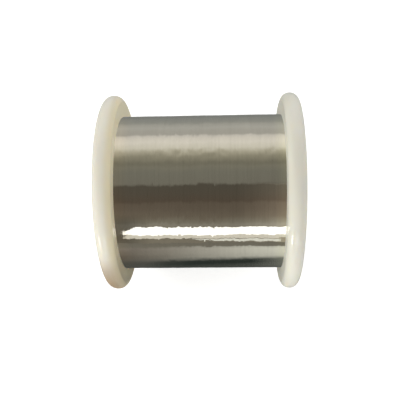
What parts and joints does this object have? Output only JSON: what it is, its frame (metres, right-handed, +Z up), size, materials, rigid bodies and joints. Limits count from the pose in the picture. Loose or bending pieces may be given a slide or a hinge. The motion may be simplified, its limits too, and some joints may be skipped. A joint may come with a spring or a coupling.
{
  "type": "reel of constantan strip",
  "caption": "Plastic reel with fat rounded flange rims, level-wound with fine bright flat resistance-alloy strip, lying on its rims.",
  "frame": {"origin": "middle of the reel's axis, halfway between the flanges", "axes": "+X along the spindle bore, +Z up with the reel lying on the rims of both flanges"},
  "size_m": [0.121, 0.125, 0.125],
  "materials": {
    "ivory_plastic": "smooth moulded, glossy",
    "constantan": "bright rolled strip, wound turn beside turn"
  },
  "bodies": {
    "root": {"flange_left": "ivory_plastic", "flange_right": "ivory_plastic", "barrel": "ivory_plastic", "strip_winding": "constantan"}
  },
  "joints": []
}
